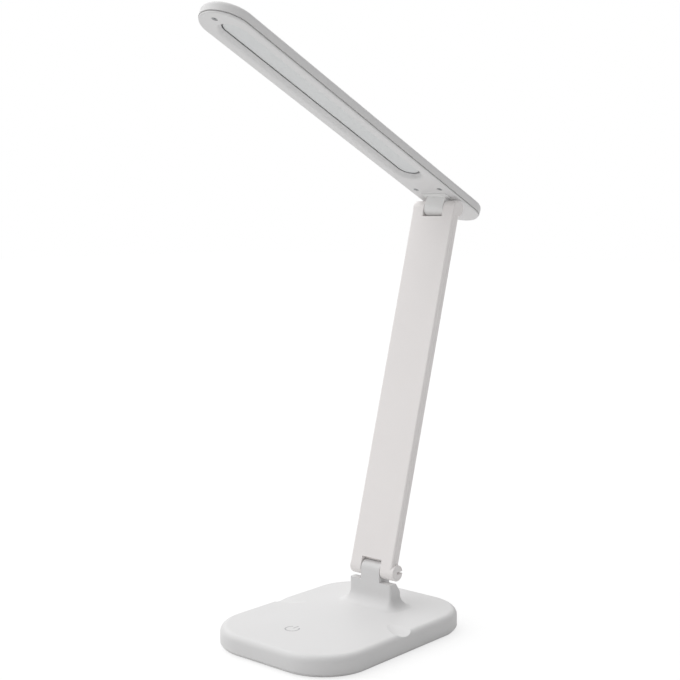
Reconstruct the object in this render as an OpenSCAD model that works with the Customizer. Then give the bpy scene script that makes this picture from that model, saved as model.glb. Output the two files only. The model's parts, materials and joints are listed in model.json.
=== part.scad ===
// Folding LED desk lamp: a flat base with a hinge post, a slim two-part arm and a long light bar.
// The origin is the middle of the base on the table, +Z is up and -Y is the side of the touch switch.

/* [Base] */
// Width of the base
base_w = 113; // [105:1:130]
// Depth of the base from front to back
base_d = 152; // [146:1:170]
// Height of the base's top above the table
base_h = 14; // [13.5:0.5:17]
// Corner radius of the base seen from above
base_corner = 34; // [28:1:38]
// Rounding of the base's top edge
base_edge = 4.5; // [2.5:0.5:5]
// Thickness of the base shell's side wall
base_wall = 2.2; // [1.8:0.1:2.6]
// Thickness of the base shell's top
base_top_t = 2.4; // [1.8:0.1:2.6]
// Thickness of the bottom plate
plate_t = 2; // [1.8:0.1:2.4]
// Distance by which the bottom plate is set in from the shell's side
plate_inset = 0.7; // [0.4:0.1:1.2]
// Bevel on the bottom plate's lower edge
plate_bevel = 0.9; // [0.4:0.1:1.2]
// Height of the plate above the table, set by the feet
foot_proud = 0.8; // [0.5:0.1:1]
// Radius of a rubber foot
foot_r = 6; // [4:0.5:7]
// Depth of a foot's recess in the plate
foot_sunk = 0.8; // [0.5:0.1:1]
// Distance of the feet from the middle, sideways
foot_x = 44; // [38:1:46]
// Distance of the feet from the middle, front to back
foot_y = 42; // [36:1:46]

/* [Finger scoops] */
// Radius of the curved path of a scoop
scoop_path_r = 30; // [26:0.5:34]
// Radius of a scoop's rounded bottom
scoop_tool_r = 15; // [10:0.5:18]
// Place of the scoop's path centre behind the middle of the base
scoop_y = 29; // [24:1:32]
// Depth of a scoop at its path centre
scoop_sink = 0.75; // [0.5:0.05:0.9]
// Tilt of a scoop towards the side of the base
scoop_tilt_side = 5.5; // [4.5:0.1:6.5]
// Tilt of a scoop towards the front
scoop_tilt_front = 2.6; // [2.2:0.1:3]

/* [Touch switch] */
// Sideways place of the touch mark
touch_x = -5; // [-8:1:4]
// Place of the touch mark in front of the middle
touch_y = -42; // [-46:1:-36]
// Outer radius of the printed ring
ring_r = 5; // [4:0.5:6]
// Width of the printed line
ring_line = 1; // [0.6:0.1:1.2]
// Depth of the printed mark
ring_t = 0.3; // [0.2:0.1:0.5]
// Opening of the ring in degrees
ring_gap = 70; // [50:5:90]
// Radius of the conductive foam pad under the mark
pad_r = 4; // [3:0.5:5]

/* [Hinges] */
// Place of the lower hinge behind the middle of the base
post_y = 35.6; // [32:0.2:38]
// Height of the lower hinge above the table
post_h = 37.8; // [37:0.2:42]
// Radius of the knuckles and the arm's ears
knuckle_r = 5.5; // [5.3:0.1:5.8]
// Width of a knuckle
knuckle_w = 16; // [14:0.5:18]
// Gap between a knuckle and the arm on each side, filled by a washer
knuckle_gap = 0.45; // [0.35:0.05:0.6]
// Clearance of the slot's end from the knuckle's surface
slot_clear = 1.3; // [0.8:0.1:1.6]
// Clearance behind the knuckle, where the arm's rear shell closes the slot
slot_back_clear = 0.5; // [0.4:0.05:0.8]
// Drop from the ears' underside to the post's shoulders
shoulder_drop = 2; // [1.5:0.1:3]
// Radius of the concave blend round the foot of the post
post_blend = 9; // [6:0.5:10]
// Radius of a hinge pin
pin_r = 2; // [1.8:0.1:2.1]
// Radial clearance of a pin in its sleeve
pin_fit = 0.03; // [0.02:0.01:0.05]
// Outer radius of the slotted friction sleeve
sleeve_r = 3.4; // [3:0.1:3.6]
// Thickness of a friction washer
washer_t = 0.4; // [0.3:0.05:0.5]
// Radius of the caps that close the ears
cap_r = 4.3; // [4.1:0.1:4.5]
// Thickness of a cap
cap_t = 2.4; // [2.2:0.1:2.8]
// Distance by which the lower right ear stands out from the arm's side
ear_proud = 1.7; // [0.5:0.1:2.2]
// Width of the pry notch in the lower right cap
notch_w = 1.5; // [1:0.1:2]
// Depth of the pry notch
notch_depth = 2.6; // [1.2:0.1:3]

/* [Arm] */
// Distance from hinge to hinge
arm_len = 254; // [230:1:280]
// Width of the arm
arm_w = 36; // [34:0.5:40]
// Thickness of the arm
arm_t = 7.2; // [6.6:0.1:8]
// Wall of the arm's shells
arm_wall = 1.5; // [1.2:0.1:1.8]
// Rounding of the arm's long edges
arm_edge = 1.2; // [0.6:0.1:1.5]
// Backward lean of the arm in degrees
arm_lean = 15.7; // [0:0.1:25]
// Width of the steel strip inside the arm
core_w = 24; // [16:1:28]
// Thickness of the steel strip
core_t = 1.5; // [1:0.1:1.6]

/* [Light bar] */
// Gap between the bar's front end and the post when the lamp is folded
tip_gap = 2; // [1:0.5:20]
// Length of the light bar behind its hinge
bar_rear = 36.6; // [30:0.2:44]
// Width of the light bar
bar_w = 35.3; // [34:0.1:38]
// Thickness of the light bar
bar_t = 8.2; // [8:0.1:9.5]
// Height of the light bar's underside above its hinge
bar_lift = 7.1; // [6.9:0.1:8]
// Upward tilt of the light bar in degrees
bar_tilt = 24.8; // [0:0.1:40]
// Wall of the light bar's upper shell
bar_wall = 1.5; // [1.2:0.1:1.8]
// Rounding of the upper shell's top edge
bar_edge = 2.8; // [1:0.1:3]
// Thickness of the lower cover
cover_t = 1.2; // [1:0.1:1.4]
// Distance by which the cover is set in from the shell's side
cover_inset = 0.5; // [0.2:0.1:0.8]
// Rounding of the cover's lower edge
cover_edge = 0.8; // [0.3:0.1:0.9]
// Shadow gap between the cover and the upper shell
seam_gap = 0.6; // [0.3:0.1:0.7]
// Distance from the hinge to the rear end of the light window
window_rear = 31; // [28:0.5:40]
// Distance from the light window to the bar's front end
window_border = 12; // [12:0.5:20]
// Width of the light window at the cover's face
window_w = 24; // [20:0.5:24]
// Rounding of the window's rim
window_round = 2.3; // [1.5:0.1:2.6]
// Slope of the window's wall from upright, in degrees
window_draft = 29; // [15:1:35]
// Depth of the diffuser under the cover's face
window_depth = 3.4; // [3:0.1:3.6]
// Thickness of the diffuser
diffuser_t = 1; // [0.8:0.1:1.1]
// Thickness of the board that carries the lamps
led_board_t = 0.8; // [0.6:0.1:0.9]
// Width of that board
led_board_w = 10; // [8:0.5:14]
// Number of lamps on the board
led_count = 24; // [12:1:28]
// Distance of the rear screws in front of the hinge
rear_screw_y = 16.5; // [15:0.5:18]
// Distance between the two rear screws
rear_screw_gap = 20.4; // [18:0.2:22]
// Distance of the front screw from the bar's front end
front_screw_inset = 7.3; // [7:0.1:8]

/* [Inside the base] */
// Thickness of the steel weight
weight_t = 5; // [4:0.5:5.5]
// Distance of the steel weight from the shell's sides
weight_margin = 8; // [6:1:14]
// Thickness of the rechargeable cell
cell_t = 6; // [4:0.5:6]
// Width and height of the charging socket's mouth
socket_w = 8.9; // [8:0.1:9.4]
// Height of the charging socket
socket_h = 3.2; // [3:0.1:3.6]
// Length of the charging socket
socket_len = 7.3; // [6:0.1:8]
// Radius of the base screws' threads
base_screw_r = 1.3; // [1:0.1:1.5]

/* [Hidden] */
$fn = 64;

eps = 0.01;
fit = 0.05;
hole_fit = 0.1;
screw_fit = 0.2;
sink_fit = 0.3;
white = [0.93, 0.93, 0.92];
steel = [0.62, 0.63, 0.65];

// Levels inside the base
plate_top = foot_proud + plate_t;
ceiling = base_h - base_top_t;
boss_r = 3.5;
boss_place = base_corner - 8;
boss_x = base_w / 2 - base_corner + boss_place * cos(45);
boss_y = base_d / 2 - base_corner + boss_place * sin(45);
boss_gap = 0.5;
screw_head_r = 2.6;
screw_head_t = 1.2;
base_screw_len = 5.5;
part_gap = 1;
board_t = 1.2;
board_z = plate_top + 3.2;
foot_bevel = 0.4;
board_size = [28, 26];
stand_r = 1.8;
stand_edge = stand_r + 0.4;
// Place and size of each chip on the control board, measured from the touch mark
board_chips = [[5.5, -3, 6, 6, 1], [-12, -4, 5, 7, 1.4]];
charge_board_t = 1;
charge_stand_h = 3;
socket_z = plate_top + charge_stand_h + charge_board_t + socket_h / 2;
socket_skin = 0.6;
socket_fit = 0.25;
socket_wall = 0.3;
socket_floor = 1;
tongue = [6.6, 5.5, 0.7];
socket_back = base_d / 2 - socket_skin - socket_len;
charge_size = [16, 14];
charge_gap = 0.3;
charge_y = base_d / 2 - base_wall - charge_gap - charge_size[1];
cell_size = [26, 33];
cell_place = [touch_x + board_size[0] / 2 + part_gap, boss_r + part_gap - boss_y];
weight_front = part_gap + max(cell_place[1] + cell_size[1], touch_y + board_size[1] / 2);
weight_rear = charge_y - part_gap;
weight_w = base_w - 2 * base_wall - 2 * weight_margin;
weight_corner = 6;

// Post
post_edge = 1.5;
post_front = -knuckle_r;
post_rear = knuckle_r;
post_ledge = 0.3;
blend_sink = 0.05;
shoulder_z = post_h - knuckle_r - shoulder_drop;
post_wall = 2.5;

// Arm, measured from the lower hinge: y runs to the arm's back and z along it
ear_in = knuckle_w / 2 + knuckle_gap;
slot_end = knuckle_r + slot_clear;
arm_front_y = -knuckle_r;
arm_back_y = arm_front_y + arm_t;
arm_seam_y = arm_front_y + arm_t / 2;
end_block = 8;
pin_head_r = 3.4;
pin_head_t = 1.8;
pin_end = 0.2;
nut_r = 4;
nut_t = 2.4;
ear_seat = arm_w / 2 - cap_t - nut_t - 2 * pin_end;
washer_r = 4.8;
sleeve_slot = 0.8;
ear_fit = 0.15;
notch_back = 0.8;
seam_groove = 0.25;
core_end = 20;
lead_w = 5;
lead_t = 0.8;

// Light bar, measured from the upper hinge: y runs to its rear and z to its top
bar_front = arm_len - knuckle_r - tip_gap;
bar_r = bar_w / 2;
bar_bottom = bar_lift;
bar_top = bar_lift + bar_t;
seam_z = bar_lift + cover_t;
bar_roof = bar_top - bar_wall;
diffuser_z = bar_lift + window_depth;
window_front = window_border - bar_front;
window_corner = window_w / 2 - window_round * tan((90 - window_draft) / 2);
window_in = window_corner - window_depth * tan(window_draft);
frame_wall = 5.2;
diffuser_lap = 4;
lip_h = 1.6 + seam_gap;
lip_t = 1.1;
lip_fit = 0.15;
cup_t = 0.8;
cup_r = 3.2;
bar_boss_r = 2.6;
bar_screw_r = 1;
bar_head_r = 1.7;
bar_head_t = 1;
hole_r = bar_head_r + screw_fit;
pilot_end = 0.5;
screw_end = 0.3;
knuckle_plate_t = 1.8;
knuckle_plate_z = seam_z + cup_t;
knuckle_foot_w = 21;
knuckle_foot_front = 9.5;
knuckle_foot_rear = 7;
knuckle_foot_proud = 0.25;
knuckle_foot_fit = 0.15;
knuckle_plate_front = rear_screw_y + 4.5;
knuckle_plate_rear = knuckle_foot_rear + 1;
front_screw_y = -bar_front + front_screw_inset;
chip = [2.8, 3.5, 0.6];
reflector_t = 0.3;
reflector_w = 22;
reflector_end = 1;
led_board_end = 4;
chip_gap = 0.2;

// Frames of the two moving parts
module in_arm() {
    translate([0, post_y, post_h]) rotate([-arm_lean, 0, 0]) children();
}

module at_upper_hinge() {
    in_arm() translate([0, 0, arm_len]) children();
}

module in_bar() {
    translate([0, post_y + arm_len * sin(arm_lean), post_h + arm_len * cos(arm_lean)])
        rotate([-bar_tilt, 0, 0]) children();
}

// Rounded rectangle about the origin
module rounded(w, d, r) {
    square([w - 2 * r, d], center = true);
    square([w, d - 2 * r], center = true);
    for (x = [-1, 1], y = [-1, 1])
        translate([x * (w / 2 - r), y * (d / 2 - r)]) circle(r);
}

// Long outline with half-round ends, from y0 to y1
module long_oval(w, y0, y1) {
    translate([-w / 2, y0 + w / 2]) square([w, y1 - y0 - w]);
    for (y = [y0 + w / 2, y1 - w / 2]) translate([0, y]) circle(w / 2);
}

// Rectangle with its outer top corner rounded
module round_shoulder(w, h, e) {
    difference() {
        square([w, h]);
        translate([w - e, h - e]) difference() {
            square(e + 1);
            circle(e);
        }
    }
}

// Profile carried round a rounded rectangle: x is 0 on the corner's axis
module round_rectangle(w, d, r) {
    sides = [[w - 2 * r, d / 2 - r, 0], [d - 2 * r, w / 2 - r, 90],
        [w - 2 * r, d / 2 - r, 180], [d - 2 * r, w / 2 - r, 270]];
    for (s = sides)
        rotate(s[2]) translate([-s[0] / 2, s[1], 0])
            rotate([90, 0, 90]) linear_extrude(s[0]) children();
    for (x = [0, 1], y = [0, 1])
        mirror([x, 0, 0]) mirror([0, y, 0]) translate([w / 2 - r, d / 2 - r, 0])
            rotate_extrude(angle = 90) children();
}

// Profile carried round a long oval
module round_oval(w, y0, y1) {
    len = y1 - y0 - w;
    for (x = [0, 1])
        mirror([x, 0, 0]) translate([0, y1 - w / 2, 0])
            rotate([90, 0, 0]) linear_extrude(len) children();
    translate([0, y1 - w / 2, 0]) rotate_extrude(angle = 180) children();
    translate([0, y0 + w / 2, 0]) rotate(180) rotate_extrude(angle = 180) children();
}

module x_rod(r, x0, x1) {
    translate([x0, 0, 0]) rotate([0, 90, 0]) cylinder(r = r, h = x1 - x0);
}

// Ring that cuts a finger scoop, deepest at the side of the base
module scoop_ring(extra) {
    for (side = [0, 1])
        mirror([side, 0, 0])
            translate([base_w / 2, scoop_y, base_h - scoop_sink + scoop_tool_r])
                rotate([scoop_tilt_front, scoop_tilt_side, 0])
                    rotate_extrude() translate([scoop_path_r, 0]) circle(scoop_tool_r + extra);
}

module touch_shape() {
    difference() {
        circle(ring_r);
        circle(ring_r - ring_line);
        polygon([[0, 0], for (a = [90 - ring_gap / 2, 90, 90 + ring_gap / 2])
            1.5 * ring_r * [cos(a), sin(a)]]);
    }
    translate([-ring_line / 2, ring_r * 0.2]) square([ring_line, ring_r]);
}

module at_bosses() {
    for (x = [-1, 1], y = [-1, 1]) translate([x * boss_x, y * boss_y, 0]) children();
}

module at_stands() {
    for (x = [-1, 1], y = [-1, 1])
        translate([touch_x + x * (board_size[0] / 2 - stand_edge),
            touch_y + y * (board_size[1] / 2 - stand_edge), 0]) children();
}

// Base
module base_slab() {
    h = base_h - plate_top;
    translate([0, 0, plate_top]) {
        difference() {
            union() {
                round_rectangle(base_w, base_d, base_corner) round_shoulder(base_corner, h, base_edge);
                linear_extrude(h)
                    square([base_w - 2 * base_corner, base_d - 2 * base_corner], center = true);
            }
            translate([0, 0, -plate_top]) scoop_ring(0);
        }
    }
}

module base_cavity() {
    difference() {
        translate([0, 0, plate_top - 1]) linear_extrude(ceiling - plate_top + 1)
            rounded(base_w - 2 * base_wall, base_d - 2 * base_wall, base_corner - base_wall);
        scoop_ring(base_top_t);
        at_bosses() translate([0, 0, plate_top]) cylinder(r = boss_r, h = base_h);
    }
}

module post_side() {
    low = base_h - post_h - 1;
    polygon([[post_front, low], [post_front, shoulder_z - post_h], [post_ledge, shoulder_z - post_h],
        [post_rear, base_h - post_h + post_blend], [post_rear, low]]);
}

module post() {
    depth = post_rear - post_front;
    translate([0, post_y, 0]) {
        intersection() {
            translate([-arm_w / 2, 0, post_h]) rotate([90, 0, 90]) linear_extrude(arm_w) post_side();
            translate([0, (post_front + post_rear) / 2, 0])
                linear_extrude(post_h) rounded(arm_w, depth, post_edge);
        }
        translate([0, (post_front + post_rear) / 2, base_h - eps])
            round_rectangle(arm_w, depth, post_edge)
                translate([post_edge - 1, 0]) difference() {
                    square([post_blend + 1, post_blend]);
                    translate([post_blend + 1, post_blend - blend_sink]) circle(post_blend);
                }
        translate([-knuckle_w / 2, -knuckle_r, base_h - eps])
            cube([knuckle_w, 2 * knuckle_r, post_h - base_h]);
        translate([0, 0, post_h]) x_rod(knuckle_r, -knuckle_w / 2, knuckle_w / 2);
    }
}

module base_shell() {
    color(white) difference() {
        union() {
            base_slab();
            post();
        }
        base_cavity();
        at_bosses() translate([0, 0, plate_top - 1]) cylinder(r = base_screw_r, h = base_screw_len + 1);
        translate([0, post_y, post_h]) x_rod(sleeve_r + fit / 2, -knuckle_w, knuckle_w);
        translate([-arm_w / 2 + post_wall, post_y, post_h]) rotate([90, 0, 90])
            linear_extrude(arm_w - 2 * post_wall) intersection() {
                translate([post_wall, -post_wall]) post_side();
                translate([-post_wall, -post_wall]) post_side();
            }
        translate([0, 0, base_h - ring_t]) linear_extrude(ring_t + 1)
            translate([touch_x, touch_y]) touch_shape();
        translate([0, base_d / 2 - base_wall - 1, socket_z]) rotate([-90, 0, 0])
            linear_extrude(base_wall + 2) socket_outline(socket_fit);
    }
}

module base_plate() {
    w = base_w - 2 * plate_inset;
    d = base_d - 2 * plate_inset;
    r = base_corner - plate_inset;
    color(white) difference() {
        union() {
            translate([0, 0, foot_proud]) {
                round_rectangle(w, d, r)
                    polygon([[0, 0], [r - plate_bevel, 0], [r, plate_bevel], [r, plate_t], [0, plate_t]]);
                linear_extrude(plate_t) square([w - 2 * r, d - 2 * r], center = true);
            }
            at_stands() translate([0, 0, plate_top - 1]) cylinder(r = stand_r, h = board_z - plate_top + 1);
            for (x = [-1, 1])
                translate([x * (charge_size[0] / 2 - stand_edge), charge_y + charge_size[1] - stand_edge,
                    plate_top - 1])
                    cylinder(r = stand_r, h = socket_z - socket_h / 2 - charge_board_t - plate_top + 1);
        }
        for (x = [-1, 1], y = [-1, 1])
            translate([x * foot_x, y * foot_y, foot_proud - 1]) cylinder(r = foot_r + fit, h = foot_sunk + 1);
        at_bosses() {
            translate([0, 0, foot_proud - 1]) cylinder(r = screw_head_r + sink_fit, h = screw_head_t + 1);
            cylinder(r = base_screw_r + screw_fit, h = plate_top + 1);
        }
    }
}

module base_weight() {
    color(steel) difference() {
        translate([0, (weight_front + weight_rear) / 2, plate_top])
            linear_extrude(weight_t) rounded(weight_w, weight_rear - weight_front, weight_corner);
        at_bosses() translate([0, 0, plate_top - 1]) cylinder(r = boss_r + boss_gap, h = weight_t + 2);
    }
}

// Pan-head screw with a cross recess; its tip points up and its head's seat is at z = 0
module cross_screw(r, head_r, head_t, length) {
    difference() {
        union() {
            cylinder(r = r, h = length);
            translate([0, 0, -head_t]) cylinder(r = head_r, h = head_t);
        }
        for (a = [0, 90])
            rotate(a) translate([-head_r * 0.6, -head_r / 8, -head_t - 1])
                cube([head_r * 1.2, head_r / 4, 1 + head_t / 2]);
    }
}

module base_screws() {
    color(steel) at_bosses() translate([0, 0, foot_proud + screw_head_t])
        cross_screw(base_screw_r - fit, screw_head_r, screw_head_t - hole_fit, base_screw_len);
}

module rubber_feet() {
    color([0.2, 0.2, 0.2])
        for (x = [-1, 1], y = [-1, 1])
            translate([x * foot_x, y * foot_y, 0]) {
                cylinder(r1 = foot_r - foot_bevel, r2 = foot_r, h = foot_bevel);
                translate([0, 0, foot_bevel])
                    cylinder(r = foot_r, h = foot_proud + foot_sunk - foot_bevel);
            }
}

module battery_cell() {
    color([0.35, 0.55, 0.75]) translate([cell_place[0], cell_place[1], plate_top])
        translate([cell_size[0] / 2, cell_size[1] / 2, 0])
            linear_extrude(cell_t) rounded(cell_size[0], cell_size[1], 2);
}

module control_board() {
    color([0.1, 0.4, 0.25]) {
        translate([touch_x, touch_y, board_z]) linear_extrude(board_t)
            rounded(board_size[0], board_size[1], 1);
        for (c = board_chips)
            translate([touch_x + c[0], touch_y + c[1], board_z + board_t]) cube([c[2], c[3], c[4]]);
    }
}

module touch_pad() {
    z = board_z + board_t;
    color([0.3, 0.3, 0.32]) translate([touch_x, touch_y, z]) cylinder(r = pad_r, h = ceiling - z);
}

module touch_mark() {
    color([0.6, 0.6, 0.6]) translate([touch_x, touch_y, base_h - ring_t])
        linear_extrude(ring_t) touch_shape();
}

// Mouth of the socket, seen from behind the base
module socket_outline(extra) {
    r = socket_h / 2 + extra;
    for (x = [-1, 1]) translate([x * (socket_w / 2 - socket_h / 2), 0]) circle(r);
    translate([-(socket_w - socket_h) / 2, -r]) square([socket_w - socket_h, 2 * r]);
}

module charge_board() {
    z = socket_z - socket_h / 2 - charge_board_t;
    color([0.1, 0.4, 0.25]) translate([-charge_size[0] / 2, charge_y, z])
        cube([charge_size[0], charge_size[1], charge_board_t]);
}

module charge_socket() {
    color(steel) translate([0, socket_back, socket_z]) rotate([-90, 0, 0]) difference() {
        linear_extrude(socket_len) socket_outline(0);
        translate([0, 0, socket_floor]) linear_extrude(socket_len) socket_outline(-socket_wall);
    }
}

module socket_tongue() {
    color([0.15, 0.15, 0.16])
        translate([-tongue[0] / 2, socket_back + socket_floor, socket_z - tongue[2] / 2]) cube(tongue);
}

// Hinge parts, drawn about an axis along x
module hinge_sleeve() {
    difference() {
        x_rod(sleeve_r, -knuckle_w / 2, knuckle_w / 2);
        x_rod(pin_r + pin_fit, -knuckle_w, knuckle_w);
        translate([-knuckle_w, -sleeve_slot / 2, -sleeve_r - 1])
            cube([2 * knuckle_w, sleeve_slot, sleeve_r + 1 - pin_r / 2]);
    }
}

module hinge_pin() {
    x_rod(pin_r, -ear_seat - pin_end, ear_seat + nut_t + pin_end);
    x_rod(pin_head_r, -ear_seat - pin_head_t, -ear_seat);
}

module hinge_nut() {
    difference() {
        translate([ear_seat, 0, 0]) rotate([0, 90, 0]) cylinder(r = nut_r, h = nut_t, $fn = 6);
        x_rod(pin_r, 0, arm_w);
    }
}

module hinge_washers() {
    slack = (knuckle_gap - washer_t) / 2;
    for (side = [0, 1])
        mirror([side, 0, 0]) difference() {
            x_rod(washer_r, knuckle_w / 2 + slack, ear_in - slack);
            x_rod(pin_r + hole_fit, 0, arm_w);
        }
}

module hinge_cap(proud) {
    x_rod(cap_r, arm_w / 2 - cap_t, arm_w / 2 + proud);
}

// Notch that runs from the cap's middle through the ear's rim, level when the lamp stands open
module pry_notch() {
    rotate([arm_lean, 0, 0])
        translate([arm_w / 2 + ear_proud - notch_depth, -notch_back, -notch_w / 2])
            cube([notch_depth + 1, knuckle_r + notch_back + 1, notch_w]);
}

module lower_sleeve() {
    color(steel) translate([0, post_y, post_h]) hinge_sleeve();
}

module lower_pin() {
    color(steel) in_arm() hinge_pin();
}

module lower_nut() {
    color(steel) in_arm() hinge_nut();
}

module lower_washers() {
    color([0.85, 0.85, 0.85]) in_arm() hinge_washers();
}

module lower_caps() {
    color(white) in_arm() {
        difference() {
            hinge_cap(ear_proud);
            pry_notch();
        }
        mirror([1, 0, 0]) hinge_cap(0);
    }
}

module upper_sleeve() {
    color(steel) in_bar() hinge_sleeve();
}

module upper_pin() {
    color(steel) at_upper_hinge() hinge_pin();
}

module upper_nut() {
    color(steel) at_upper_hinge() hinge_nut();
}

module upper_washers() {
    color([0.85, 0.85, 0.85]) at_upper_hinge() hinge_washers();
}

module upper_caps() {
    color(white) at_upper_hinge() for (side = [0, 1]) mirror([side, 0, 0]) hinge_cap(0);
}

// One half of the arm's box section, open at the seam at y = 0
module half_section(depth) {
    difference() {
        translate([-arm_w / 2, 0]) square([arm_w, depth]);
        for (x = [0, 1])
            mirror([x, 0]) translate([arm_w / 2 - arm_edge, depth - arm_edge]) difference() {
                square(arm_edge + 1);
                circle(arm_edge);
            }
        for (x = [0, 1])
            mirror([x, 0]) translate([arm_w / 2, 0]) rotate(45) square(seam_groove * sqrt(2), center = true);
    }
}

module arm_half(depth, z0, z1) {
    difference() {
        translate([0, 0, z0]) linear_extrude(z1 - z0) half_section(depth);
        translate([-arm_w / 2 + arm_wall, -1, slot_end + end_block])
            cube([arm_w - 2 * arm_wall, depth - arm_wall + 1, arm_len - 2 * (slot_end + end_block)]);
    }
}

// Everything that is cut at both ends of the arm
module at_both_ends() {
    children();
    translate([0, 0, arm_len]) mirror([0, 0, 1]) children();
}

// Both ears of one end; the right one stands out from the arm's side by the given distance
module ears(proud) {
    for (side = [0, 1])
        mirror([side, 0, 0]) {
            translate([ear_in, 0, 0]) rotate([0, 90, 0]) rotate_extrude()
                round_shoulder(knuckle_r, arm_w / 2 - ear_in + (1 - side) * proud, arm_edge / 2);
            translate([ear_in, -knuckle_r, 0]) cube([arm_w / 2 - ear_in - arm_edge, arm_t / 2, slot_end]);
        }
}

module ear_holes() {
    x_rod(pin_r, -arm_w, arm_w);
    for (side = [0, 1]) mirror([side, 0, 0]) x_rod(cap_r + fit, ear_seat, arm_w);
}

module slot_cut() {
    translate([-ear_in, -2 * knuckle_r, -2 * knuckle_r])
        cube([2 * ear_in, 4 * knuckle_r, 2 * knuckle_r + slot_end]);
}

module arm_front() {
    color(white) in_arm() difference() {
        union() {
            translate([0, arm_seam_y, 0]) mirror([0, 1, 0]) arm_half(arm_t / 2, 0, arm_len);
            ears(ear_proud);
            translate([0, 0, arm_len]) mirror([0, 0, 1]) ears(0);
        }
        at_both_ends() {
            slot_cut();
            ear_holes();
        }
        pry_notch();
    }
}

module arm_rear() {
    color(white) in_arm() difference() {
        translate([0, arm_seam_y, 0]) arm_half(arm_t / 2, 0, arm_len);
        at_both_ends() {
            x_rod(knuckle_r + slot_back_clear, -ear_in, ear_in);
            x_rod(knuckle_r + ear_fit, -arm_w, arm_w);
            translate([-arm_w, -2 * knuckle_r, -2 * knuckle_r])
                cube([2 * arm_w, 4 * knuckle_r, 2 * knuckle_r]);
        }
    }
}

module arm_core() {
    color(steel) in_arm() translate([-core_w / 2, arm_front_y + arm_wall, core_end])
        cube([core_w, core_t, arm_len - 2 * core_end]);
}

module arm_lead() {
    color([0.15, 0.15, 0.16]) in_arm()
        translate([-lead_w / 2, arm_front_y + arm_wall + core_t, slot_end + end_block + 1])
            cube([lead_w, lead_t, arm_len - 2 * (slot_end + end_block + 1)]);
}

// Light bar
module bar_shell() {
    h = bar_top - seam_z - seam_gap;
    color(white) in_bar() difference() {
        translate([0, 0, seam_z + seam_gap])
            round_oval(bar_w, -bar_front, bar_rear) round_shoulder(bar_r, h, bar_edge);
        difference() {
            translate([0, 0, seam_z - 1]) linear_extrude(bar_roof - seam_z + 1)
                long_oval(bar_w - 2 * bar_wall, -bar_front + bar_wall, bar_rear - bar_wall);
            for (x = [-1, 1])
                translate([x * rear_screw_gap / 2, -rear_screw_y, knuckle_plate_z + knuckle_plate_t])
                    cylinder(r = bar_boss_r, h = bar_t);
            translate([0, front_screw_y, knuckle_plate_z]) cylinder(r = bar_boss_r, h = bar_t);
        }
        at_bar_screws() translate([0, 0, seam_z]) cylinder(r = bar_screw_r, h = bar_roof - seam_z - pilot_end);
    }
}

module at_bar_screws() {
    for (x = [-1, 1]) translate([x * rear_screw_gap / 2, -rear_screw_y, 0]) children();
    translate([0, front_screw_y, 0]) children();
}

// Oval that runs along the window at half-width r
module window_oval(r) {
    margin = r - window_w / 2;
    long_oval(2 * r, window_front - margin, -window_rear + margin);
}

// Opening of the light window: a drafted wall with a rounded rim
module window_cut() {
    r = window_w / 2;
    slope = tan(window_draft);
    rim_z = window_round * (1 - sin(window_draft));
    translate([0, 0, bar_lift]) round_oval(window_w, window_front, -window_rear) {
        polygon([[0, -1], [window_corner + slope, -1], [window_in - slope, window_depth + 1],
            [0, window_depth + 1]]);
        difference() {
            polygon([[0, -1], [r, -1], [r, 0], [r - window_round * cos(window_draft), rim_z],
                [0, rim_z]]);
            translate([r, window_round]) circle(window_round);
        }
    }
}

module bar_cover() {
    outer_w = bar_w - 2 * cover_inset;
    lip_w = bar_w - 2 * (bar_wall + lip_fit);
    lip_in = bar_wall + lip_fit;
    color(white) in_bar() difference() {
        union() {
            translate([0, 0, seam_z]) mirror([0, 0, 1])
                round_oval(outer_w, -bar_front + cover_inset, bar_rear - cover_inset)
                    round_shoulder(outer_w / 2, cover_t, cover_edge);
            translate([0, 0, seam_z - eps]) difference() {
                linear_extrude(lip_h) long_oval(lip_w, -bar_front + lip_in, bar_rear - lip_in);
                translate([0, 0, -1]) linear_extrude(lip_h + 2) long_oval(lip_w - 2 * lip_t,
                    -bar_front + lip_in + lip_t, bar_rear - lip_in - lip_t);
            }
            translate([0, 0, bar_lift + eps]) linear_extrude(window_depth - eps)
                window_oval(window_in + frame_wall);
            at_bar_screws() translate([0, 0, bar_lift + eps]) cylinder(r = cup_r, h = cover_t + cup_t - eps);
        }
        window_cut();
        at_bar_screws() {
            translate([0, 0, bar_lift - 1]) cylinder(r = hole_r, h = cover_t + 1);
            translate([0, 0, bar_lift]) cylinder(r = bar_screw_r + hole_fit, h = cover_t + cup_t + 1);
        }
        translate([-knuckle_foot_w / 2 - knuckle_foot_fit, -knuckle_foot_front - knuckle_foot_fit,
            bar_lift - 1])
            cube([knuckle_foot_w + 2 * knuckle_foot_fit,
                knuckle_foot_front + knuckle_foot_rear + 2 * knuckle_foot_fit, cover_t + 2]);
    }
}

module bar_knuckle() {
    plate_w = bar_w - 2 * (bar_wall + lip_fit + lip_t + knuckle_foot_fit);
    color(white) in_bar() difference() {
        union() {
            x_rod(knuckle_r, -knuckle_w / 2, knuckle_w / 2);
            translate([-knuckle_w / 2, -knuckle_r, 0]) cube([knuckle_w, 2 * knuckle_r, bar_lift + cover_t]);
            translate([-knuckle_foot_w / 2, -knuckle_foot_front, bar_lift - knuckle_foot_proud])
                cube([knuckle_foot_w, knuckle_foot_front + knuckle_foot_rear,
                    knuckle_plate_z - bar_lift + knuckle_foot_proud + 1]);
            translate([-plate_w / 2, -knuckle_plate_front, knuckle_plate_z])
                cube([plate_w, knuckle_plate_front + knuckle_plate_rear, knuckle_plate_t]);
        }
        x_rod(sleeve_r + fit / 2, -knuckle_w, knuckle_w);
        at_bar_screws() translate([0, 0, knuckle_plate_z - 1]) cylinder(r = bar_screw_r + hole_fit, h = knuckle_plate_t + 2);
    }
}

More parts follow.
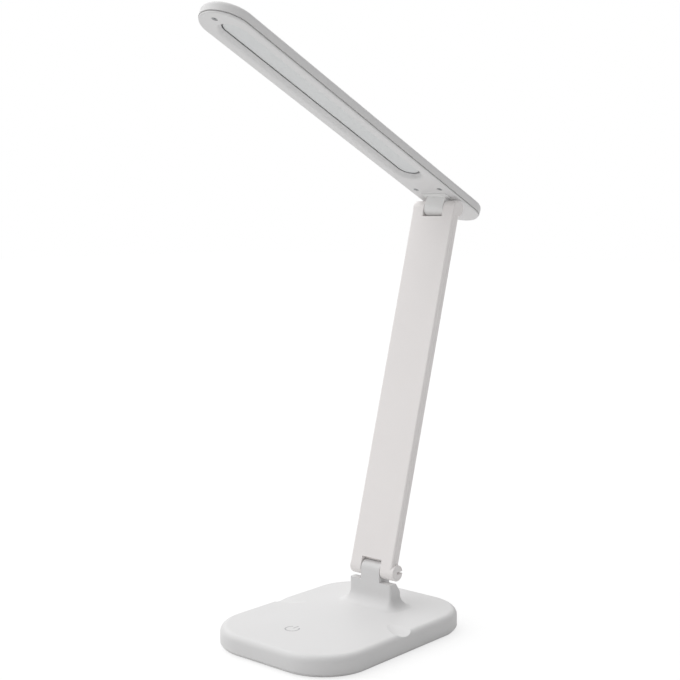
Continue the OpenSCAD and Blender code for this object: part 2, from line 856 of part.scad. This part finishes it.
module bar_screws() {
    color(steel) in_bar() at_bar_screws() translate([0, 0, seam_z])
        cross_screw(bar_screw_r - fit, bar_head_r, bar_head_t,
            bar_roof - seam_z - pilot_end - screw_end);
}

module diffuser() {
    color([0.95, 0.97, 0.97, 0.9]) in_bar() translate([0, 0, diffuser_z]) linear_extrude(diffuser_t)
        window_oval(window_in + diffuser_lap);
}

// Evenly spaced places of the lamps along the board
module at_chips() {
    first = window_front + window_w / 2;
    last = -window_rear - window_w / 2;
    for (i = [0:led_count - 1])
        translate([0, first + (last - first) * i / (led_count - 1), 0]) children();
}

module reflector() {
    color([0.97, 0.97, 0.97]) in_bar() translate([0, 0, bar_roof - led_board_t - reflector_t])
        linear_extrude(reflector_t) difference() {
            long_oval(reflector_w, window_front + reflector_end, -window_rear - reflector_end);
            at_chips() square([chip[0] + 2 * chip_gap, chip[1] + 2 * chip_gap], center = true);
        }
}

module led_board() {
    color([0.8, 0.82, 0.8]) in_bar()
        translate([-led_board_w / 2, window_front + led_board_end, bar_roof - led_board_t])
            cube([led_board_w, -window_rear - window_front - 2 * led_board_end, led_board_t]);
}

module led_chips() {
    color([0.98, 0.85, 0.45]) in_bar() at_chips()
        translate([-chip[0] / 2, -chip[1] / 2, bar_roof - led_board_t - chip[2]]) cube(chip);
}

base_shell();
base_plate();
base_weight();
base_screws();
rubber_feet();
battery_cell();
control_board();
touch_pad();
touch_mark();
charge_board();
charge_socket();
socket_tongue();
lower_sleeve();
lower_pin();
lower_nut();
lower_washers();
lower_caps();
arm_front();
arm_rear();
arm_core();
arm_lead();
upper_sleeve();
upper_pin();
upper_nut();
upper_washers();
upper_caps();
bar_shell();
bar_cover();
bar_knuckle();
bar_screws();
diffuser();
reflector();
led_board();
led_chips();
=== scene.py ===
import json
import math

import bmesh
import bpy
from mathutils import Matrix, Vector


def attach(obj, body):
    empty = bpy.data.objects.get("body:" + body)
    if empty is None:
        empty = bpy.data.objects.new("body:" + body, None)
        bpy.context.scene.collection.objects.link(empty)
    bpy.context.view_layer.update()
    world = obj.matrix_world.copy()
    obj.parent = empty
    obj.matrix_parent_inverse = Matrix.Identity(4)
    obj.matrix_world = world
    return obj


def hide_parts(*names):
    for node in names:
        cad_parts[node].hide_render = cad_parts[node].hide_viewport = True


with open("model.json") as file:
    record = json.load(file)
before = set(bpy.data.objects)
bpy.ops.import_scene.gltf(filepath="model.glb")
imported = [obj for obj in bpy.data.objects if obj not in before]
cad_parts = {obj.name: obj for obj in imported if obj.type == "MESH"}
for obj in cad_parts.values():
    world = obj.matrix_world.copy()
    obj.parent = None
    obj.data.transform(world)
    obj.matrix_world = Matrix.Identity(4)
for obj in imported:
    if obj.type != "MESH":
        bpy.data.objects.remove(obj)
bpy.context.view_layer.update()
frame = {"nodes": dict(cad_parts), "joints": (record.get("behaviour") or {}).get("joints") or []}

NODES = frame["nodes"]

# The view of the photograph: place in metres, angles in degrees, lens in millimetres
CAMERA_PLACE = (0.53344, -0.61594, 0.27934)
CAMERA_YAW = 40.94
CAMERA_PITCH = -5.75
CAMERA_NEAR = 0.01
LENS_MM = 66.74
SENSOR_MM = 36.0

# Colours of the plastics, the rubber and the printed ink
WHITE = (0.77, 0.765, 0.765)
ARM_WHITE = (0.93, 0.898, 0.888)
BAR_WHITE = (0.79, 0.785, 0.785)
# The neck's white is lighter than the bar's as painted light, making up for the shade the bar casts on it
NECK_LIT_WHITE = (0.90, 0.898, 0.892)
OPAL = (0.762, 0.775, 0.776)
# The seat's grey is painted shade: it darkens the gap round the lens
SEAT_SHADE_GREY = (0.66, 0.66, 0.665)
PRINT_GREY = (0.46, 0.45, 0.46)
RUBBER = (0.62, 0.62, 0.61)
BLACK = (0.03, 0.03, 0.032)

# Colours of the metals and of the parts inside
ZINC = (0.52, 0.53, 0.54)
DULL_STEEL = (0.416, 0.424, 0.432)
BRASS = (0.72, 0.52, 0.26)
SOLDER_GREEN = (0.02, 0.16, 0.07)
SOLDER_WHITE = (0.72, 0.74, 0.72)
REFLECTOR_WHITE = (0.88, 0.88, 0.88)
PHOSPHOR_YELLOW = (0.90, 0.78, 0.30)
FILM_BLUE = (0.12, 0.30, 0.55)

# Settings of the plastic, the diffuser, the metals and the circuit boards; lengths in metres
PLASTIC_SPECULAR = 0.42
MILKINESS = 0.25
MILK_DEPTH = 0.002
METAL_EDGE = 0.0001
EDGE_SAMPLES = 6
TRACKS_PER_METRE = 260.0

# The bar's tilt in degrees; its underside above the upper hinge and the light window along the bar in metres
BAR_TILT = 24.8
BAR_LIFT = 0.0071
WINDOW_FRONT_CENTRE = -0.2225
WINDOW_REAR_CENTRE = -0.043
ARC_STEPS = 40

# Half-width, and height above the bar's underside, of each edge of the lens and of the seat round it
LENS_OUTLINE = ((0.00722, 0.00342), (0.00745, 0.00345), (0.00765, 0.00354),
                (0.00776, 0.00369), (0.0078, 0.0039), (0.0078, 0.0049))
SEAT_OUTLINE = ((0.0078, 0.0049), (0.0104, 0.0049), (0.0104, 0.00343), (0.0125, 0.00343),
                (0.0125, 0.0044), (0.0112, 0.0044), (0.0112, 0.00524), (0.0072, 0.00524))
LENS_BACK = ((0.0072, 0.00524), (0.0072, 0.00445))
OPAL_SLOT = 0
SEAT_SLOT = 1

# Light of the studio; a strength of 1 is white for the background
BACKGROUND = 1.0
SKY = 0.39
FLOOR_SIZE = 12.0
FLOOR_COLOUR = 0.78
FLOOR_GLOW = 1.17
FLOOR_SHADOW_SHARE = 0.35
SUN_ANGLE = 80.0
# Name, strength and direction of each wide light
SUNS = (("key_front_left", 1.67, (0.5, 0.3, -0.81)), ("rim_back_left", 0.77, (0.5, -0.5, -0.7)))


def shade(colour, factor):
    """The colour made darker or lighter."""
    return tuple(c * factor for c in colour)


def opaque(colour):
    """The colour with full alpha, as sockets take it."""
    return (*colour, 1.0)


class Shader:
    """A material whose nodes are added one by one around a Principled shader."""

    def __init__(self, name, colour, roughness, metallic=0.0):
        self.colour = colour
        self.roughness = roughness
        self.material = bpy.data.materials.new(name)
        self.material.use_nodes = True
        self.nodes = self.material.node_tree.nodes
        self.links = self.material.node_tree.links
        self.bsdf = self.nodes["Principled BSDF"]
        self.bsdf.inputs["Base Color"].default_value = opaque(colour)
        self.bsdf.inputs["Roughness"].default_value = roughness
        self.bsdf.inputs["Metallic"].default_value = metallic
        self.place = self.nodes.new("ShaderNodeTexCoord").outputs["Object"]
        self.normal = None

    def stretched(self, scale):
        """Object coordinates scaled along each axis, which draws noise out into lines."""
        mapping = self.nodes.new("ShaderNodeMapping")
        mapping.inputs["Scale"].default_value = scale
        self.links.new(self.place, mapping.inputs["Vector"])
        return mapping.outputs["Vector"]

    def noise(self, per_metre, detail=2.0, place=None):
        node = self.nodes.new("ShaderNodeTexNoise")
        node.inputs["Scale"].default_value = per_metre
        node.inputs["Detail"].default_value = detail
        self.links.new(place or self.place, node.inputs["Vector"])
        return node.outputs["Fac"]

    def tint(self, value, first, last=1.0, low=0.35, high=0.65):
        """Takes the colour from first to last times itself as the value goes from low to high."""
        node = self.nodes.new("ShaderNodeValToRGB")
        for element, position, factor in zip(node.color_ramp.elements, (low, high), (first, last)):
            element.position = position
            element.color = opaque(shade(self.colour, factor))
        self.links.new(value, node.inputs["Fac"])
        self.links.new(node.outputs["Color"], self.bsdf.inputs["Base Color"])

    def polish(self, value, below, above):
        """Varies the roughness from its mean less below to its mean plus above."""
        node = self.nodes.new("ShaderNodeMapRange")
        node.inputs["To Min"].default_value = self.roughness - below
        node.inputs["To Max"].default_value = self.roughness + above
        self.links.new(value, node.inputs["Value"])
        self.links.new(node.outputs["Result"], self.bsdf.inputs["Roughness"])

    def soft_edges(self, radius):
        """Rounds the edges in the shading alone; the bump that follows builds on it."""
        node = self.nodes.new("ShaderNodeBevel")
        node.samples = EDGE_SAMPLES
        node.inputs["Radius"].default_value = radius
        self.normal = node.outputs["Normal"]

    def bump(self, value, depth):
        node = self.nodes.new("ShaderNodeBump")
        node.inputs["Distance"].default_value = depth
        self.links.new(value, node.inputs["Height"])
        if self.normal:
            self.links.new(self.normal, node.inputs["Normal"])
        self.links.new(node.outputs["Normal"], self.bsdf.inputs["Normal"])


def moulded(name, colour, roughness=0.42):
    """Injection-moulded plastic: fine spark-eroded grain, faint flow marks, slightly uneven gloss."""
    s = Shader(name, colour, roughness)
    s.tint(s.noise(per_metre=22.0, detail=3.0), first=0.985)
    s.polish(s.noise(per_metre=90.0, detail=4.0), below=0.05, above=0.06)
    s.bsdf.inputs["Specular IOR Level"].default_value = PLASTIC_SPECULAR
    s.bump(s.noise(per_metre=3800.0), depth=0.000006)
    return s.material


def metal(name, colour, roughness, along=(1, 1, 1)):
    """Turned, rolled or plated metal: fine lines along one direction."""
    s = Shader(name, colour, roughness, metallic=1.0)
    lines = s.noise(per_metre=2600.0, detail=3.0, place=s.stretched(along))
    s.tint(lines, first=0.86)
    s.polish(s.noise(per_metre=700.0, detail=3.0), below=0.07, above=0.12)
    s.soft_edges(METAL_EDGE)
    s.bump(lines, depth=0.00001)
    return s.material


def soft(name, colour):
    """Rubber or foam: matt and finely pitted."""
    s = Shader(name, colour, roughness=0.75)
    s.tint(s.noise(per_metre=300.0, detail=4.0), first=0.9)
    s.polish(s.noise(per_metre=500.0), below=0.06, above=0.08)
    s.bump(s.noise(per_metre=2500.0, detail=4.0), depth=0.00003)
    return s.material


def circuit(name, colour):
    """Solder mask over copper tracks."""
    s = Shader(name, colour, roughness=0.35)
    tracks = s.nodes.new("ShaderNodeTexBrick")
    tracks.inputs["Scale"].default_value = TRACKS_PER_METRE
    for socket, factor in (("Color1", 1.0), ("Color2", 1.25), ("Mortar", 0.7)):
        tracks.inputs[socket].default_value = opaque(shade(colour, factor))
    s.links.new(s.place, tracks.inputs["Vector"])
    s.links.new(tracks.outputs["Color"], s.bsdf.inputs["Base Color"])
    s.bump(tracks.outputs["Fac"], depth=0.00003)
    return s.material


def frosted(name, colour):
    """Opal diffuser: milky, with a fine etched face."""
    s = Shader(name, colour, roughness=0.38)
    s.bsdf.inputs["Subsurface Weight"].default_value = MILKINESS
    s.bsdf.inputs["Subsurface Radius"].default_value = (MILK_DEPTH,) * 3
    s.tint(s.noise(per_metre=16.0), first=0.985)
    s.polish(s.noise(per_metre=1500.0, detail=3.0), below=0.05, above=0.07)
    s.bump(s.noise(per_metre=5200.0), depth=0.000004)
    return s.material


def printed(name, colour):
    """Pad-printed ink, a little thinner in places."""
    s = Shader(name, colour, roughness=0.5)
    s.tint(s.noise(per_metre=1800.0, detail=4.0), first=1.0, last=1.12, low=0.3, high=0.7)
    s.polish(s.noise(per_metre=900.0), below=0.06, above=0.06)
    s.bump(s.noise(per_metre=6000.0), depth=0.000003)
    return s.material


def oval_ring(mesh, half_width, height):
    """Vertices of a long oval round the light window's axis."""
    ring = []
    for centre, start in ((WINDOW_REAR_CENTRE, 0.0), (WINDOW_FRONT_CENTRE, math.pi)):
        for step in range(ARC_STEPS + 1):
            angle = start + math.pi * step / ARC_STEPS
            across = half_width * math.cos(angle)
            along = centre + half_width * math.sin(angle)
            ring.append(mesh.verts.new((across, along, BAR_LIFT + height)))
    return ring


def lens_mesh():
    """The closed mesh of lens and seat, level and with the upper hinge at its origin."""
    mesh = bmesh.new()
    outline = [LENS_OUTLINE[0]]
    slots = []
    for points, slot in ((LENS_OUTLINE, OPAL_SLOT), (SEAT_OUTLINE, SEAT_SLOT), (LENS_BACK, OPAL_SLOT)):
        outline.extend(points[1:])
        slots.extend([slot] * (len(points) - 1))
    rings = [oval_ring(mesh, *point) for point in outline]
    for lower, upper, slot in zip(rings, rings[1:], slots):
        for i in range(len(lower)):
            j = (i + 1) % len(lower)
            mesh.faces.new((lower[i], lower[j], upper[j], upper[i])).material_index = slot
    mesh.faces.new(reversed(rings[0]))
    mesh.faces.new(rings[-1])
    bmesh.ops.recalc_face_normals(mesh, faces=mesh.faces)
    return mesh


def make_lens(opal, seat):
    """The diffuser as a lens with a rounded rim; the gap between lens and window shows as a dark line,
    partly the gap's real shade and partly the seat's grey, which is painted shade.
    """
    hinge = next(joint for joint in frame["joints"] if joint["name"] == "bar_hinge")["pos_m"]
    mesh = lens_mesh()
    mesh.transform(Matrix.Translation(Vector(hinge)) @ Matrix.Rotation(math.radians(-BAR_TILT), 4, "X"))
    data = bpy.data.meshes.new("diffuser_lens")
    mesh.to_mesh(data)
    mesh.free()
    data.materials.append(opal)
    data.materials.append(seat)
    lens = bpy.data.objects.new("diffuser_lens", data)
    bpy.context.collection.objects.link(lens)
    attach(lens, "bar")
    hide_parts("diffuser")


def dress(material, *names):
    """Gives CAD nodes their material through their own slots."""
    for name in names:
        for slot in NODES[name].material_slots:
            slot.material = material


def dress_all():
    """The material of every CAD node, and the lens that stands for the diffuser."""
    dress(moulded("base_plastic", WHITE), "base_shell", "base_plate")
    dress(moulded("arm_plastic", ARM_WHITE), "arm_front", "arm_rear", "lower_caps", "upper_caps")
    dress(moulded("bar_plastic", BAR_WHITE, roughness=0.4), "bar_shell", "bar_cover")
    # The neck gets a lighter white than the bar: painted light against the bar's shade
    dress(moulded("neck_plastic_painted_light", NECK_LIT_WHITE, roughness=0.4), "bar_knuckle")
    dress(moulded("black_plastic", BLACK, roughness=0.45), "socket_tongue", "arm_lead")
    dress(moulded("reflector_film", REFLECTOR_WHITE, roughness=0.25), "reflector")
    dress(moulded("phosphor", PHOSPHOR_YELLOW, roughness=0.35), "led_chips")
    dress(moulded("cell_film", FILM_BLUE, roughness=0.22), "battery_cell")
    dress(metal("zinc_screws", ZINC, roughness=0.32), "bar_screws", "base_screws", "lower_nut", "upper_nut")
    dress(metal("turned_steel", ZINC, roughness=0.25, along=(40, 1, 1)), "lower_pin", "upper_pin")
    dress(metal("rolled_steel", DULL_STEEL, roughness=0.4, along=(1, 1, 30)), "arm_core", "base_weight")
    dress(metal("brass_sleeve", BRASS, roughness=0.3, along=(30, 1, 1)), "lower_sleeve", "upper_sleeve")
    dress(metal("socket_steel", ZINC, roughness=0.28, along=(1, 20, 1)), "charge_socket")
    dress(circuit("control_mask", SOLDER_GREEN), "control_board", "charge_board")
    dress(circuit("lamp_mask", SOLDER_WHITE), "led_board")
    dress(soft("washer_rubber", BLACK), "lower_washers", "upper_washers")
    dress(soft("foot_rubber", RUBBER), "rubber_feet")
    dress(soft("pad_foam", BLACK), "touch_pad")
    # The seat round the lens is grey as painted shade in the gap
    make_lens(frosted("opal_diffuser", OPAL), soft("seat_painted_shade", SEAT_SHADE_GREY))
    dress(printed("touch_print", PRINT_GREY), "touch_mark")


def seen_directly(nodes, links):
    """1 for camera and transmission rays, 0 for the rays that light the object."""
    path = nodes.new("ShaderNodeLightPath")
    either = nodes.new("ShaderNodeMath")
    either.operation = "MAXIMUM"
    links.new(path.outputs["Is Camera Ray"], either.inputs[0])
    links.new(path.outputs["Is Transmission Ray"], either.inputs[1])
    return either.outputs[0]


def make_world():
    """White behind the object, and an even grey sky that lights it."""
    world = bpy.data.worlds.new("studio")
    bpy.context.scene.world = world
    world.use_nodes = True
    nodes = world.node_tree.nodes
    links = world.node_tree.links
    level = nodes.new("ShaderNodeMapRange")
    level.inputs["To Min"].default_value = SKY
    level.inputs["To Max"].default_value = BACKGROUND
    links.new(seen_directly(nodes, links), level.inputs["Value"])
    links.new(level.outputs["Result"], nodes["Background"].inputs["Strength"])
    nodes["Background"].inputs["Color"].default_value = (1.0, 1.0, 1.0, 1.0)


def make_floor():
    """White to the camera, with a faint shadow; for the light that it throws back, a pale diffuse sheet."""
    bpy.ops.mesh.primitive_plane_add(size=FLOOR_SIZE, location=(0, 0, 0))
    floor = bpy.context.active_object
    floor.name = "studio_floor"
    paper = bpy.data.materials.new("floor_paper")
    paper.use_nodes = True
    nodes = paper.node_tree.nodes
    links = paper.node_tree.links
    nodes.remove(nodes["Principled BSDF"])
    sheet = nodes.new("ShaderNodeBsdfDiffuse")
    sheet.inputs["Color"].default_value = opaque((FLOOR_COLOUR,) * 3)
    glow = nodes.new("ShaderNodeEmission")
    glow.inputs["Strength"].default_value = FLOOR_GLOW
    share = nodes.new("ShaderNodeMath")
    share.operation = "MULTIPLY"
    share.inputs[1].default_value = 1.0 - FLOOR_SHADOW_SHARE
    links.new(seen_directly(nodes, links), share.inputs[0])
    mix = nodes.new("ShaderNodeMixShader")
    links.new(share.outputs[0], mix.inputs[0])
    links.new(sheet.outputs[0], mix.inputs[1])
    links.new(glow.outputs[0], mix.inputs[2])
    links.new(mix.outputs[0], nodes["Material Output"].inputs["Surface"])
    # The glow lights nothing, so no light samples are spent on it
    paper.cycles.emission_sampling = "NONE"
    floor.data.materials.append(paper)


def light_studio():
    """Two wide soft lights from above, from the left and from behind; the sky and the floor do the rest."""
    for name, strength, direction in SUNS:
        light = bpy.data.lights.new(name, "SUN")
        light.energy = strength
        light.angle = math.radians(SUN_ANGLE)
        lamp = bpy.data.objects.new(name, light)
        lamp.rotation_euler = Vector(direction).to_track_quat("-Z", "Y").to_euler()
        bpy.context.collection.objects.link(lamp)


def make_camera():
    data = bpy.data.cameras.new("camera")
    data.lens = LENS_MM
    data.sensor_width = SENSOR_MM
    data.clip_start = CAMERA_NEAR
    camera = bpy.data.objects.new("camera", data)
    camera.location = CAMERA_PLACE
    camera.rotation_euler = (math.radians(90.0 + CAMERA_PITCH), 0.0, math.radians(CAMERA_YAW))
    bpy.context.collection.objects.link(camera)
    bpy.context.scene.camera = camera


make_camera()
make_world()
make_floor()
light_studio()
dress_all()
bpy.context.scene.view_settings.view_transform = "Standard"
